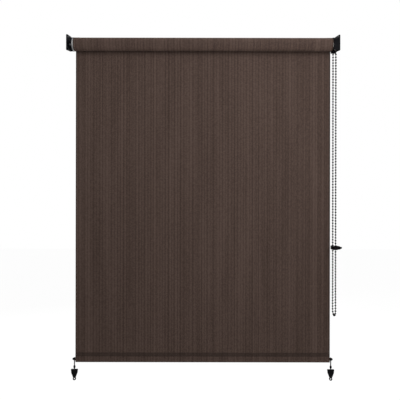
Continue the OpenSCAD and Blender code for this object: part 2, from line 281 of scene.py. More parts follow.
# %% [markdown]
# ## The knit
#
# Shade cloth is knitted from flat plastic yarn. Its loops stand in upright columns, the wales, three to
# each rib of the cloth, and each loop is a small V over the one below. Loops could be modelled one by one,
# but there are over ninety thousand of them, and a loop is only about a pixel wide in the photograph. So a
# formula draws them. The cloth carries its own map in metres, across and along, and the knit turns with it
# round the roll and under the rail.

# %% Sizes of the knit
RIBS = 85
WALES_PER_RIB = 3
WALE = CLOTH_W / (RIBS * WALES_PER_RIB)
COURSE = 4.0 * MM
print("a loop is", round(WALE / MM, 2), "mm wide and", round(COURSE / MM, 2), "mm high")

# %% Lay out wales and courses
FINE_DETAIL = 2.0
DRIFT_SCALE = (40, 14, 1)
WOBBLE = 1.2 * MM
LOOP_SLANT = 0.9
print("a wale wanders by up to", round(WOBBLE / 2 / MM, 2), "mm to either side")


def loop_layout(cloth, chart, across, along):
    drift = cloth.noise(cloth.stretched(chart, DRIFT_SCALE), 1.0, FINE_DETAIL)
    wales = (across + EDGE + (drift - 0.5) * WOBBLE) / WALE
    off_wale = (wales.fraction() - 0.5).size()
    courses = along / COURSE + off_wale * LOOP_SLANT
    off_course = (courses.fraction() - 0.5).size()
    return wales, courses, off_wale, off_course


# %% [markdown]
# ## Colour of the yarn
#
# Yarn is never quite one colour. One brown with a little noise would be enough from afar, but it looks
# like paper close up. So each wale and each loop gets its own tone, fuzz speckles the yarn, and broad
# upright bands run through the cloth, as they do where the yarns come from different spools.

# %% Tone of each loop
CLOTH_PALE = (0.130, 0.0875, 0.0725, 1)
CLOTH_DARK = (0.057, 0.0360, 0.0285, 1)
BAND_SCALE = (16, 1.5, 1)
BAND_TONE, WALE_TONE, LOOP_TONE, FUZZ_TONE = 0.34, 0.14, 0.18, 0.34
TONE_RANGE = (0.2, 0.8)
print("shares of the tone add up to", round(BAND_TONE + WALE_TONE + LOOP_TONE + FUZZ_TONE, 2))


def yarn_colour(cloth, chart, wales, courses, fuzz):
    band = cloth.noise(cloth.stretched(chart, BAND_SCALE), 1.0, FINE_DETAIL)
    wale = cloth.dice(wales.floor(), 0)
    loop = cloth.dice(wales.floor(), courses.floor())
    tone = band * BAND_TONE + wale * WALE_TONE + loop * LOOP_TONE + fuzz * FUZZ_TONE
    return cloth.mix(tone.smooth(*TONE_RANGE), CLOTH_DARK, CLOTH_PALE)


# %% [markdown]
# ## Shade in the cloth
#
# The furrow between two ribs and the small gaps between the loops get painted shade. Real holes would
# give that shade too, but they would need millions of faces. The hem band above the rail gets painted
# shade as well, and the cloth is darker along its cut edges. The map of the cloth round the rail starts at
# ten metres, far from any other, and that is how the finish tells the hem from the panel.

# %% Shade of furrows, gaps, hem and edges
HEM_START = 10.0
HEM_HEIGHT = 19.5 * MM
SELVEDGE = 5 * MM
FURROW_RANGE = (0.26, 0.5)
WALE_GAP, COURSE_GAP = (0.32, 0.5), (0.25, 0.5)
CREASE_SHADE, FURROW_SHADE, GAP_SHADE, HEM_SHADE, EDGE_SHADE = 0.36, 0.27, 0.8, 0.56, 0.55
print("hem from", HEM_START, "to", HEM_START + HEM_HEIGHT, "m on its map")


def cloth_shade(across, along, wales, off_wale, off_course, relief):
    # painted shade in the furrows between ribs, the creases and gaps between loops, and on the hem band; the cut
    # edges are darker too
    furrow = ((wales / WALES_PER_RIB).fraction() - 0.5).size().smooth(*FURROW_RANGE)
    gap = off_wale.smooth(*WALE_GAP) * off_course.smooth(*COURSE_GAP)
    # painted shade on the hem band just above the rail
    painted_hem_shade = along.above(HEM_START) * (1 - along.above(HEM_START + HEM_HEIGHT))
    selvedge = across.size().above(EDGE - SELVEDGE)
    crease = (1 - relief) * CREASE_SHADE + furrow * FURROW_SHADE
    return crease.most(gap * GAP_SHADE).most(painted_hem_shade * HEM_SHADE).most(selvedge * EDGE_SHADE)


# %% Finish of the shade cloth
# the dark colour that the painted shade and the darker cut edges are mixed towards
CLOTH_GAP = (0.016, 0.011, 0.009, 1)
FUZZ_SCALE = 900.0
WALE_ROUND, COURSE_ROUND = 2.4, 1.6
KNIT_ROUGH, FUZZ_ROUGH = 0.9, 0.12
FUZZ_RELIEF = 0.2
KNIT_BUMP, KNIT_DEPTH = 0.5, 0.7 * MM


def knit_finish():
    cloth = Finish("shade_knit")
    chart = cloth.chart("knit")
    across, along = cloth.part(chart, "X"), cloth.part(chart, "Y")
    fuzz = cloth.noise(chart, FUZZ_SCALE, FINE_DETAIL)
    wales, courses, off_wale, off_course = loop_layout(cloth, chart, across, along)
    relief = 1 - off_wale * off_wale * WALE_ROUND - off_course * off_course * COURSE_ROUND
    shade = cloth_shade(across, along, wales, off_wale, off_course, relief)
    yarn = yarn_colour(cloth, chart, wales, courses, fuzz)
    return cloth.close(cloth.principled(
        Base_Color=cloth.mix(shade, yarn, CLOTH_GAP),
        Roughness=KNIT_ROUGH - fuzz * FUZZ_ROUGH,
        Diffuse_Roughness=1.0,
        Specular_IOR_Level=0.08,
        Normal=cloth.bump(relief + fuzz * FUZZ_RELIEF, KNIT_BUMP, KNIT_DEPTH),
    ))


KNIT = knit_finish()

# %% [markdown]
# ## Plastics and powder coat
#
# The brackets are powder coated, with a faint orange peel. The mouldings have a fine grain from a
# spark-eroded mould, and the beads are smoother. Plain black would hide their shapes, and an image texture
# would blur close up. So noise of two sizes makes them: a broad one clouds the colour and the gloss, and a
# fine one lifts the grain.

# %% Finishes of the plastics
CLOUD_DETAIL = 3.0
PLASTIC_CLOUD = 45.0
PLASTIC_RANGE = (0.3, 0.75)
CLOUD_ROUGH, GRAIN_ROUGH = 0.16, 0.08
GRAIN_DEPTH = 0.2 * MM


def moulded_finish(name, dark, pale, rough, grain, bump, shine=0.05):
    plastic = Finish(name)
    places = plastic.places()
    grained = plastic.noise(places, grain, FINE_DETAIL)
    cloud = plastic.noise(places, PLASTIC_CLOUD, CLOUD_DETAIL)
    return plastic.close(plastic.principled(
        Base_Color=plastic.mix(cloud.smooth(*PLASTIC_RANGE), dark, pale),
        Roughness=rough + cloud * CLOUD_ROUGH - grained * GRAIN_ROUGH,
        Specular_IOR_Level=shine,
        Normal=plastic.bump(grained, bump, GRAIN_DEPTH),
    ))


COATED = moulded_finish(
    "powder_coat", (0.0032, 0.0034, 0.0048, 1), (0.0068, 0.0070, 0.0096, 1),
    rough=0.58, grain=700.0, bump=0.10, shine=0.03)
BLACK = moulded_finish(
    "black_moulding", (0.0032, 0.0032, 0.0038, 1), (0.0066, 0.0066, 0.0078, 1),
    rough=0.58, grain=1600.0, bump=0.16, shine=0.03)
BEAD = moulded_finish(
    "bead_plastic", (0.003, 0.003, 0.0034, 1), (0.006, 0.006, 0.0068, 1),
    rough=0.42, grain=900.0, bump=0.06, shine=0.02)
GREY = moulded_finish(
    "grey_moulding", (0.020, 0.021, 0.025, 1), (0.034, 0.035, 0.040, 1),
    rough=0.5, grain=1400.0, bump=0.14)
WHITE = moulded_finish(
    "white_moulding", (0.56, 0.55, 0.51, 1), (0.70, 0.69, 0.65, 1),
    rough=0.46, grain=1200.0, bump=0.10, shine=0.4)

# %% [markdown]
# ## Metals
#
# The alloy tubes are pulled through a die, which leaves lines along their length. The idler pin is oiled
# steel, and the screws, clip and springs are bright. Scratches could be painted by hand, but noise that is
# stretched along one axis gives drawing lines on any length of tube.

# %% Finishes of the metals
METAL_CLOUD = 28.0
METAL_RANGE = (0.3, 0.7)
LINE_ROUGH = 0.18
LINE_BUMP, LINE_DEPTH = 0.12, 0.3 * MM


def metal_finish(name, dark, pale, rough, stretch):
    metal = Finish(name)
    places = metal.places()
    lines = metal.noise(metal.stretched(places, stretch), 1.0, CLOUD_DETAIL)
    cloud = metal.noise(places, METAL_CLOUD, CLOUD_DETAIL)
    return metal.close(metal.principled(
        Base_Color=metal.mix(cloud.smooth(*METAL_RANGE), dark, pale),
        Metallic=1.0,
        Roughness=rough + lines * LINE_ROUGH,
        Normal=metal.bump(lines, LINE_BUMP, LINE_DEPTH),
    ))


ALLOY = metal_finish(
    "drawn_alloy", (0.17, 0.17, 0.168, 1), (0.25, 0.25, 0.246, 1), rough=0.42, stretch=(6, 900, 900))
OILED = metal_finish(
    "oiled_steel", (0.05, 0.05, 0.053, 1), (0.09, 0.09, 0.094, 1), rough=0.4, stretch=(300, 300, 300))
STEEL = metal_finish(
    "bright_steel", (0.34, 0.34, 0.35, 1), (0.48, 0.48, 0.49, 1), rough=0.26, stretch=(400, 400, 400))

# %% [markdown]
# ## Rigid pieces with softened edges
#
# A real moulding or pressing has no razor edge: a small round catches the light along every rim. The solids
# are sharp. They could be modelled again with rounds, but a copy of a solid, merged and cleaned, takes a
# bevel just as well and stays in its place. Pieces that nobody sees without taking the shade apart keep
# their solids and only get a finish.

# %% Name a piece's body and slot, and keep it
def body_with(node):
    bodies = frame["record"]["behaviour"]["bodies"]
    return next(name for name, members in bodies.items() if node in members)


def slot_of(node):
    subparts = frame["record"]["subparts"]
    return next(part["material_slot"] for part in subparts if part["node"] == node)


def keep_piece(name, mesh, finish, body, slot, *nodes):
    piece = add_object(name, mesh)
    mesh.materials.clear()
    mesh.materials.append(finish)
    if nodes:
        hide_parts(*nodes)
    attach(piece, body)
    return piece


# %% Copy a solid and soften its edges
MERGE_MM = 0.004
FLAT_DEG = 1.0
SHARP_DEG = 34
BEVEL_SEGMENTS = 2


def clean_copy(node):
    made = bmesh.new()
    made.from_mesh(solids[node].data)
    bmesh.ops.remove_doubles(made, verts=made.verts, dist=MERGE_MM * MM)
    bmesh.ops.dissolve_limit(
        made, angle_limit=math.radians(FLAT_DEG), verts=made.verts, edges=made.edges)
    mesh = bpy.data.meshes.new(node + "_soft")
    made.to_mesh(mesh)
    made.free()
    mesh.transform(solids[node].matrix_world)
    return mesh


def smooth_by_angle(mesh):
    mesh.shade_smooth()
    mesh.set_sharp_from_angle(angle=math.radians(SHARP_DEG))


def soften(node, finish, edge_mm):
    piece = keep_piece(
        node + "_dressed", clean_copy(node), finish, body_with(node), slot_of(node), node)
    bevel = piece.modifiers.new("soft edges", "BEVEL")
    bevel.width = edge_mm * MM
    bevel.segments = BEVEL_SEGMENTS
    bevel.limit_method = "ANGLE"
    bevel.angle_limit = math.radians(SHARP_DEG)
    bevel.use_clamp_overlap = True
    smooth_by_angle(piece.data)
    return piece


# %% Dress the pieces that are seen
SOFT_EDGES_MM = {
    "left_bracket": (COATED, 0.35), "right_bracket": (COATED, 0.35),
    "left_cover": (BLACK, 0.6), "right_cover": (BLACK, 0.6),
    "chain_guard": (BLACK, 0.5), "chain_guide": (BLACK, 0.9),
    "left_rail_cap": (BLACK, 0.5), "right_rail_cap": (BLACK, 0.5),
    "left_knob": (BLACK, 0.7), "right_knob": (BLACK, 0.7),
    "left_cord_bead": (BLACK, 0.5), "right_cord_bead": (BLACK, 0.5),
    "left_hook": (BLACK, 1.1), "right_hook": (BLACK, 1.1),
}
dressed = {node: soften(node, *look) for node, look in SOFT_EDGES_MM.items()}
print("softened", len(dressed), "pieces")

# %% Give the hidden pieces their finishes
PLAIN = {
    "idler_bush": BLACK, "chain_wheel": WHITE, "drive_plug": WHITE, "idler_plug": GREY,
    "clutch_hub": GREY, "clutch_screws": STEEL, "hub_clip": STEEL, "idler_pin": OILED,
    "roller_tube": ALLOY, "rail_tube": ALLOY,
}
for node, finish in PLAIN.items():
    solids[node].data.materials.clear()
    solids[node].data.materials.append(finish)
print("finished", len(PLAIN), "solids as they are")

# %% [markdown]
# ## Geometry Nodes by one helper
#
# Ribs, stitches, beads and the turns of a spring repeat by a rule. A loop in Python could place them, but a
# node tree keeps the rule apart from its sizes, so that either can be changed alone. `Recipe` is such a
# tree with named sizes. It ends in Realize Instances and Set Material, and `bake` turns its result into a
# plain mesh, because an export drops instances.

# %% A geometry tree with named sizes
class Recipe(Net):
    def __init__(self, name, sizes):
        super().__init__(bpy.data.node_groups.new(name, "GeometryNodeTree"))
        self.sizes = sizes
        face = self.tree.interface
        face.new_socket("Geometry", in_out="INPUT", socket_type="NodeSocketGeometry")
        face.new_socket("Geometry", in_out="OUTPUT", socket_type="NodeSocketGeometry")
        for size, value in sizes.items():
            kind = "NodeSocketInt" if isinstance(value, int) else "NodeSocketFloat"
            face.new_socket(size, in_out="INPUT", socket_type=kind)

    def given(self, name):
        return self.node("NodeGroupInput", {}, {}, name)

    def ring(self, sides, diameter):
        inputs = {"Resolution": sides, "Radius": diameter * 0.5}
        return self.node("GeometryNodeCurvePrimitiveCircle", {"mode": "RADIUS"}, inputs)

    def finish(self, geometry, material):
        whole = self.node("GeometryNodeRealizeInstances", {}, {"Geometry": geometry})
        smooth = self.node("GeometryNodeSetShadeSmooth", {}, {"Geometry": whole})
        inputs = {"Geometry": smooth, "Material": material}
        made = self.node("GeometryNodeSetMaterial", {}, inputs)
        self.node("NodeGroupOutput", {}, {"Geometry": made})

    def bake(self, data):
        carrier = add_object(self.tree.name + " carrier", data)
        modifier = carrier.modifiers.new(self.tree.name, "NODES")
        modifier.node_group = self.tree
        for socket in self.tree.interface.items_tree:
            if socket.in_out == "INPUT" and socket.name in self.sizes:
                modifier[socket.identifier] = self.sizes[socket.name]
        ready = carrier.evaluated_get(bpy.context.evaluated_depsgraph_get())
        mesh = bpy.data.meshes.new_from_object(ready)
        carrier.modifiers.remove(modifier)
        bpy.data.objects.remove(carrier)
        print("baked", self.tree.name, "into", len(mesh.polygons), "faces")
        return mesh


# %% [markdown]
# ## The hanging cloth
#
# The panel is one flat length of knit under light tension. A cloth simulation would leave it almost flat, so
# a rule makes it: a grid with enough columns for each rib to have a rounded crest, and a slow wave of under
# a millimetre that keeps its face from being dead flat. The wave dies out at the roll and at the rail, where
# the cloth is held. The flat grid's own places become the map of the knit.

# %% Bend a grid into ribs and a slow wave
COLUMNS_PER_RIB = 6
PANEL_ROWS = 24
RIB_HEIGHT = 0.25 * MM
WAVE_HEIGHT = 0.5 * MM
WAVES_ACROSS = 3
WAVE_START = 0.7
print("grid of", RIBS * COLUMNS_PER_RIB, "by", PANEL_ROWS, "faces")


def cloth_front(panel_tree, across, down):
    given = panel_tree.given
    share = across / given("Width")
    crest = (share * given("Ribs") * (2 * math.pi)).cosine()
    slow = (share * (2 * math.pi * WAVES_ACROSS) + WAVE_START).sine()
    held = (down / given("Drop") * math.pi).cosine()
    rib = (crest * -0.5 + 0.5) * given("Rib")
    wave = (slow * 0.5 + 0.5) * held * given("Wave")
    return rib + wave + panel_low.y


# %% Build the ribbed panel
def ribbed_panel():
    tree = Recipe("ribbed cloth", {
        "Width": CLOTH_W, "Drop": panel_drop, "Ribs": RIBS,
        "Rib": RIB_HEIGHT, "Wave": WAVE_HEIGHT})
    grid = tree.node("GeometryNodeMeshGrid", {}, {
        "Size X": tree.given("Width"), "Vertices X": tree.given("Ribs") * COLUMNS_PER_RIB + 1,
        "Size Y": tree.given("Drop"), "Vertices Y": PANEL_ROWS + 1})
    here = tree.node("GeometryNodeInputPosition", {}, {})
    across, down = tree.part(here, "X"), tree.part(here, "Y")
    mapped = tree.node(
        "GeometryNodeStoreNamedAttribute", {"data_type": "FLOAT2", "domain": "CORNER"},
        {"Geometry": grid, "Name": "knit", "Value": here})
    height = down + (panel_low.z + panel_high.z) / 2
    place = tree.vector(across, cloth_front(tree, across, down), height)
    stood = tree.node("GeometryNodeSetPosition", {}, {"Geometry": mapped, "Position": place})
    tree.finish(stood, KNIT)
    return tree.bake(bpy.data.meshes.new("panel grid"))


panel_mesh = ribbed_panel()

# %% [markdown]
# ## Thickness of the cloth
#
# A sheet without thickness shows its back through its front in some programs, and it can't be printed. Two
# grids could be joined at their rims, but Solidify does that in one step. It needs faces that look
# outwards, so they are turned first where they don't.

# %% Helpers for thickness
def face_out(mesh, towards):
    made = bmesh.new()
    made.from_mesh(mesh)
    made.normal_update()
    if sum(face.normal.dot(towards) * face.calc_area() for face in made.faces) < 0:
        bmesh.ops.reverse_faces(made, faces=made.faces)
    made.to_mesh(mesh)
    made.free()


def thicken(piece, thickness, first_face_looks):
    wall = piece.modifiers.new("cloth thickness", "SOLIDIFY")
    wall.thickness = thickness
    wall.offset = -1 if piece.data.polygons[0].normal.dot(first_face_looks) > 0 else 1
    wall.use_even_offset = True
    ready = piece.evaluated_get(bpy.context.evaluated_depsgraph_get())
    mesh = bpy.data.meshes.new_from_object(ready)
    piece.modifiers.clear()
    piece.data = mesh
    smooth_by_angle(mesh)


# %% Hang the panel
FRONT, BACK = Vector((0, -1, 0)), Vector((0, 1, 0))
face_out(panel_mesh, FRONT)
panel = keep_piece(
    "hanging_cloth", panel_mesh, KNIT, "mounting", "shade_cloth", "fabric_panel")
thicken(panel, CLOTH_T - RIB_HEIGHT, FRONT)
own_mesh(panel)

# %% [markdown]
# ## The roll
#
# Some cloth always stays on the tube, so that the first pull doesn't strain its fixing. A plain cylinder
# would do from the front, but its end would show no layers. So the roll is a strip, wound as a true spiral
# that ends at the back, where the panel leaves it. Fine steps keep its outline round, and the map of the
# knit runs on from the panel over the top of the roll.

# %% A strip of cloth along a path
def cloth_strip(name, path, bands, start):
    lengths = [start]
    for before, after in zip(path, path[1:]):
        lengths.append(lengths[-1] + math.dist(before, after))
    xs = [CLOTH_W * i / bands - EDGE for i in range(bands + 1)]
    row = bands + 1
    faces = [
        (r * row + c, r * row + c + 1, (r + 1) * row + c + 1, (r + 1) * row + c)
        for r in range(len(path) - 1) for c in range(bands)
    ]
    mesh = bpy.data.meshes.new(name)
    mesh.from_pydata([(x, y, z) for y, z in path for x in xs], [], faces)
    chart = mesh.uv_layers.new(name="knit")
    for loop in mesh.loops:
        r, c = divmod(loop.vertex_index, row)
        chart.data[loop.index].uv = (xs[c], lengths[r])
    mesh.shade_smooth()
    return mesh


# %% Wind the cloth on the roll
ROLL_TURNS = 2
ROLL_STEPS = 120
ROLL_BANDS = 24
LAYER_GAP = 0.05 * MM
roll_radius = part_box("fabric_roll")[1].y - AXIS.y


def roll_path():
    path = []
    for i in range(ROLL_TURNS * ROLL_STEPS + 1):
        turn = 2 * math.pi * i / ROLL_STEPS
        r = roll_radius - CLOTH_T * i / ROLL_STEPS
        path.append((AXIS.y + r * math.cos(turn), AXIS.z + r * math.sin(turn)))
    return path


roll_mesh = cloth_strip("rolled_cloth", roll_path(), ROLL_BANDS, panel_drop / 2)
roll = keep_piece("rolled_cloth", roll_mesh, KNIT, "roller", "shade_cloth", "fabric_roll")
thicken(roll, CLOTH_T - LAYER_GAP, BACK)
print("roll", round(2 * roll_radius / MM, 1), "mm across")

# %% [markdown]
# ## The hem and rail pocket
#
# The cloth runs down behind the panel's lower edge, under the alloy rail, up its back and into the seam
# again. A box with rounded edges would look much the same from afar, but it would have no seam. So it is
# one strip here too. Above the rail the two layers lie together as a hem, and the back layer laps over the
# panel's edge, so that no light comes through the seam.

# %% Draw the pocket's path
ARC_STEPS = 10
RAIL_CORNER = 9 * MM
POCKET_GAP = 0.1 * MM
LAP = 1.5 * MM
rail_low, rail_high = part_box("rail_tube")


def corner(centre, radius, start_deg, end_deg):
    step = (end_deg - start_deg) / ARC_STEPS
    turns = [math.radians(start_deg + step * i) for i in range(ARC_STEPS + 1)]
    return [(centre[0] + radius * math.cos(t), centre[1] + radius * math.sin(t)) for t in turns]


def pocket_path():
    reach = POCKET_GAP + CLOTH_T
    front, back = rail_low.y - reach, rail_high.y + reach
    low, high = rail_low.z - reach, rail_high.z + reach
    r = RAIL_CORNER + reach
    seam_front, seam_back = panel_low.y, panel_low.y + 2 * CLOTH_T
    seam_middle = (hem_top + high) / 2
    lean = math.degrees(math.acos((seam_front - front - r) / r))
    rejoin = math.degrees(math.acos((seam_back - front - r) / r))
    return [
        (seam_front, hem_top),
        (seam_front, seam_middle),
        *corner((front + r, high - r), r, lean, 180),
        *corner((front + r, low + r), r, 180, 270),
        *corner((back - r, low + r), r, 270, 360),
        *corner((back - r, high - r), r, 0, 90),
        *corner((front + r, high - r), r, 90, rejoin),
        (seam_back, seam_middle),
        (seam_back, hem_top + LAP),
    ]


pocket_line = pocket_path()
pocket_length = sum(math.dist(a, b) for a, b in zip(pocket_line, pocket_line[1:]))
print("rail cloth is", round(pocket_length / MM, 1), "mm round the rail and up both sides of its hem")

# %% Fold the cloth round the rail
POCKET_BANDS = 120
pocket_mesh = cloth_strip("rail_cloth", pocket_line, POCKET_BANDS, HEM_START)
pocket = keep_piece(
    "rail_cloth", pocket_mesh, KNIT, "bottom_rail", "shade_cloth", "rail_pocket")
thicken(pocket, CLOTH_T - LAYER_GAP, FRONT)
print("folded into", len(pocket.data.polygons), "faces")

# %% [markdown]
# ## Stitches
#
# Two rows of lock stitch hold the hem, and they show on both of its sides. Each stitch is a short rounded
# thread that dips into the cloth at both ends. They could be drawn in the finish, but then they would
# vanish at a slant. A line of points carries one stitch each, so the rows are a job for instances.

# %% Finish of the thread
THREAD = moulded_finish(
    "sewing_thread", (0.020, 0.015, 0.012, 1), (0.034, 0.026, 0.021, 1), rough=0.7, grain=2500.0, bump=0.3)

# %% Sew the hem
HEM_ROWS_MM = (3.5, 15)
STITCH_PITCH = 5 * MM
STITCH_LENGTH = 3.6 * MM
STITCH_THICK = 0.7 * MM
STITCHES = int(CLOTH_W / STITCH_PITCH) - 1
STITCH_SIDES, STITCH_RINGS = 8, 6
UNIT_RADIUS = 0.5  # a ball of this radius is one unit across, so its scale is its size


def sewn_hem():
    tree = Recipe("stitches", {
        "Stitches": STITCHES, "Pitch": STITCH_PITCH, "Length": STITCH_LENGTH, "Thread": STITCH_THICK})
    given = tree.given
    step = tree.vector(x=given("Pitch"))
    rows = []
    for below in HEM_ROWS_MM:
        for y in (panel_low.y, panel_low.y + 2 * CLOTH_T):
            start = (-STITCH_PITCH * (STITCHES - 1) / 2, y, hem_top - below * MM)
            rows.append(tree.node("GeometryNodeMeshLine", {"mode": "OFFSET"}, {
                "Count": given("Stitches"), "Start Location": start, "Offset": step}))
    points = tree.node("GeometryNodeJoinGeometry", {}, {"Geometry": rows})
    ball = tree.node("GeometryNodeMeshUVSphere", {}, {
        "Segments": STITCH_SIDES, "Rings": STITCH_RINGS, "Radius": UNIT_RADIUS})
    size = tree.vector(given("Length"), given("Thread"), given("Thread"))
    sewn = tree.node("GeometryNodeInstanceOnPoints", {}, {
        "Points": points, "Instance": ball, "Scale": size})
    tree.finish(sewn, THREAD)
    return tree.bake(bpy.data.meshes.new("hem rows"))


keep_piece("hem_stitches", sewn_hem(), THREAD, "bottom_rail", "shade_cloth")
print("stitches in a row:", STITCHES)

# %% [markdown]
# ## The bead chain
#
# The chain is an endless loop: half a turn over the wheel, a straight run down each side and a free loop
# below. Its beads are one pitch apart along that path, and a thin strand joins them. Copies of a bead could
# be set along a curve by an array, but a bead has to lie in each pocket of the wheel. So the path's own
# points are the beads' places: the tree puts a bead on each and sweeps the strand along the same line.

# %% Lay the chain's path
BEAD_PITCH = 13.2 * MM
SOLID_BEAD = 8.2 * MM  # the bead of the solid chain, which gives the free loop's place in its box
WHEEL_POCKETS = 12
chain_low, chain_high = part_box("bead_chain")
CHAIN_X = (chain_low.x + chain_high.x) / 2
PITCH_R = BEAD_PITCH / (2 * math.sin(math.pi / WHEEL_POCKETS))
LOOP_Z = chain_low.z + SOLID_BEAD / 2 + PITCH_R


def chain_path():
    run = round((AXIS.z - LOOP_Z) / BEAD_PITCH)
    half = WHEEL_POCKETS // 2
    turns = [math.pi * i / half for i in range(half + 1)]
    over = [(AXIS.y + PITCH_R * math.cos(a), AXIS.z + PITCH_R * math.sin(a)) for a in turns]
    front = [(AXIS.y - PITCH_R, AXIS.z - i * BEAD_PITCH) for i in range(1, run)]
    loop = [(AXIS.y - PITCH_R * math.cos(a), LOOP_Z - PITCH_R * math.sin(a)) for a in turns]
    back = [(AXIS.y + PITCH_R, LOOP_Z + i * BEAD_PITCH) for i in range(1, run)]
    return [(CHAIN_X, y, z) for y, z in over + front + loop + back]


chain_line = chain_path()
print("beads:", len(chain_line), "in a chain of", round(len(chain_line) * BEAD_PITCH, 2), "m")

# %% Thread the beads
BEAD_ACROSS = 8.9 * MM  # as wide as the wheel's pockets
STRAND = 2.2 * MM
BEAD_SIDES, BEAD_RINGS = 14, 9
STRAND_SIDES = 8


def closed_curve(name, points):
    data = bpy.data.curves.new(name, "CURVE")
    data.dimensions = "3D"
    line = data.splines.new("POLY")
    line.points.add(len(points) - 1)
    for knot, place in zip(line.points, points):
        knot.co = (*place, 1)
    line.use_cyclic_u = True
    return data


def threaded_beads():
    tree = Recipe("bead chain", {"Bead": BEAD_ACROSS, "Strand": STRAND})
    path = tree.given("Geometry")
    ball = tree.node("GeometryNodeMeshUVSphere", {}, {
        "Segments": BEAD_SIDES, "Rings": BEAD_RINGS, "Radius": UNIT_RADIUS})
    bead = tree.given("Bead")
    knots = tree.node("GeometryNodeCurveToPoints", {"mode": "EVALUATED"}, {"Curve": path})
    beads = tree.node("GeometryNodeInstanceOnPoints", {}, {
        "Points": knots, "Instance": ball, "Scale": tree.vector(bead, bead, bead)})
    ring = tree.ring(STRAND_SIDES, tree.given("Strand"))
    strand = tree.node("GeometryNodeCurveToMesh", {}, {"Curve": path, "Profile Curve": ring})
    both = tree.node("GeometryNodeJoinGeometry", {}, {"Geometry": [beads, strand]})
    tree.finish(both, BEAD)
    return tree.bake(closed_curve("chain path", chain_line))


keep_piece("chain_of_beads", threaded_beads(), BEAD, "mounting", "chain_plastic", "bead_chain")

# %% [markdown]
# ## The two springs
#
# A wrap spring grips the clutch's hub, and a softer one pushes the idler pin into the left bracket. Both
# are round wire wound at one radius. A Screw modifier could turn a circle into a coil, but a spiral curve
# with a round section has its turns and length as plain numbers. On the real shade the idler spring gets
# shorter as its pin goes in.

# %% Wind the springs
SPRING_STEPS = 36
WIRE_SIDES = 10


def wire_spring(node, wire, turns):
    low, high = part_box(node)
    tree = Recipe("spring", {
        "Wire": wire, "Turns": float(turns), "Radius": (high.y - low.y) / 2 - wire / 2,
        "Length": high.x - low.x - wire})
    given = tree.given
    spiral = tree.node("GeometryNodeCurveSpiral", {}, {
        "Resolution": SPRING_STEPS, "Rotations": given("Turns"), "Height": given("Length"),
        "Start Radius": given("Radius"), "End Radius": given("Radius")})
    laid = tree.node("GeometryNodeTransform", {}, {
        "Geometry": spiral, "Rotation": (0, math.pi / 2, 0),
        "Translation": (low.x + wire / 2, AXIS.y, AXIS.z)})
    ring = tree.ring(WIRE_SIDES, given("Wire"))
    wound = tree.node("GeometryNodeCurveToMesh", {}, {
        "Curve": laid, "Profile Curve": ring, "Fill Caps": True})
    tree.finish(wound, STEEL)
    mesh = tree.bake(bpy.data.meshes.new(node))
    return keep_piece(node + "_wire", mesh, STEEL, body_with(node), slot_of(node), node)


wire_spring("wrap_spring", wire=1.6 * MM, turns=7)
idler_spring = wire_spring("idler_spring", wire=1.2 * MM, turns=7)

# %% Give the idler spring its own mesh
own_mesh(idler_spring)

# %% [markdown]
# ## The elastic cords
#
# Each hold-down hangs on a short length of braided elastic. It runs straight from its seat in the knob,
# through the crimped bead and into the hook. Its strands could be modelled as thin tubes, but they are
# under a millimetre wide. So the cord is one tube with its own map, round and along it, on which two sets
# of slanting lines cross as a braid.

# %% Finish of the braid
BRAID_STRANDS = 8
BRAID_LAY = 9 * MM
BRAID_GRAIN = 2200.0
BRAID_DARK = (0.004, 0.004, 0.0045, 1)
BRAID_PALE = (0.020, 0.020, 0.022, 1)
BRAID_RANGE = (-0.4, 0.9)
BRAID_SHARE, GRAIN_SHARE = 0.7, 0.3
BRAID_ROUGH, BRAID_GRAIN_ROUGH = 0.62, 0.2
BRAID_BUMP, BRAID_DEPTH = 0.5, 0.4 * MM


def braid_finish():
    braid = Finish("braided_elastic")
    chart = braid.chart("braid")
    around = braid.part(chart, "X") * (2 * math.pi * BRAID_STRANDS)
    along = braid.part(chart, "Y") * (2 * math.pi * BRAID_STRANDS / BRAID_LAY)
    strands = (around + along).sine().most((around - along).sine())
    grain = braid.noise(braid.places(), BRAID_GRAIN, FINE_DETAIL)
    # painted shade: the valleys between the strands are darker and their crests paler
    shade = strands.smooth(*BRAID_RANGE) * BRAID_SHARE + grain * GRAIN_SHARE
    return braid.close(braid.principled(
        Base_Color=braid.mix(shade, BRAID_DARK, BRAID_PALE),
        Roughness=BRAID_ROUGH + grain * BRAID_GRAIN_ROUGH,
        Specular_IOR_Level=0.06,
        Normal=braid.bump(strands + grain * GRAIN_SHARE, BRAID_BUMP, BRAID_DEPTH),
    ))


BRAID = braid_finish()

# %% A tube with its ends closed
CORD_SIDES = 20
CORD_RINGS = 40
print("cord of", CORD_RINGS, "bands of", CORD_SIDES, "faces")


def cord_tube(name, top, length, diameter):
    places, faces = [], []
    for r in range(CORD_RINGS + 1):
        z = top.z - length * r / CORD_RINGS
        for s in range(CORD_SIDES):
            a = 2 * math.pi * s / CORD_SIDES
            x, y = diameter / 2 * math.cos(a), diameter / 2 * math.sin(a)
            places.append((top.x + x, top.y + y, z))
    for r in range(CORD_RINGS):
        for s in range(CORD_SIDES):
            t = (s + 1) % CORD_SIDES
            base, below = r * CORD_SIDES, (r + 1) * CORD_SIDES
            faces.append((base + s, below + s, below + t, base + t))
    faces.append(tuple(range(CORD_SIDES)))
    faces.append(tuple(CORD_RINGS * CORD_SIDES + s for s in reversed(range(CORD_SIDES))))
    mesh = bpy.data.meshes.new(name)
    mesh.from_pydata(places, [], faces)
    map_tube(mesh, length)
    smooth_by_angle(mesh)
    return mesh


def map_tube(mesh, length):
    chart = mesh.uv_layers.new(name="braid")
    for face in mesh.polygons:
        corners = [mesh.loops[i].vertex_index for i in face.loop_indices]
        closes = {vertex % CORD_SIDES for vertex in corners} == {0, CORD_SIDES - 1}
        for i, vertex in zip(face.loop_indices, corners):
            r, s = divmod(vertex, CORD_SIDES)
            share = (CORD_SIDES if closes and s == 0 else s) / CORD_SIDES
            chart.data[i].uv = (share, length * r / CORD_RINGS)


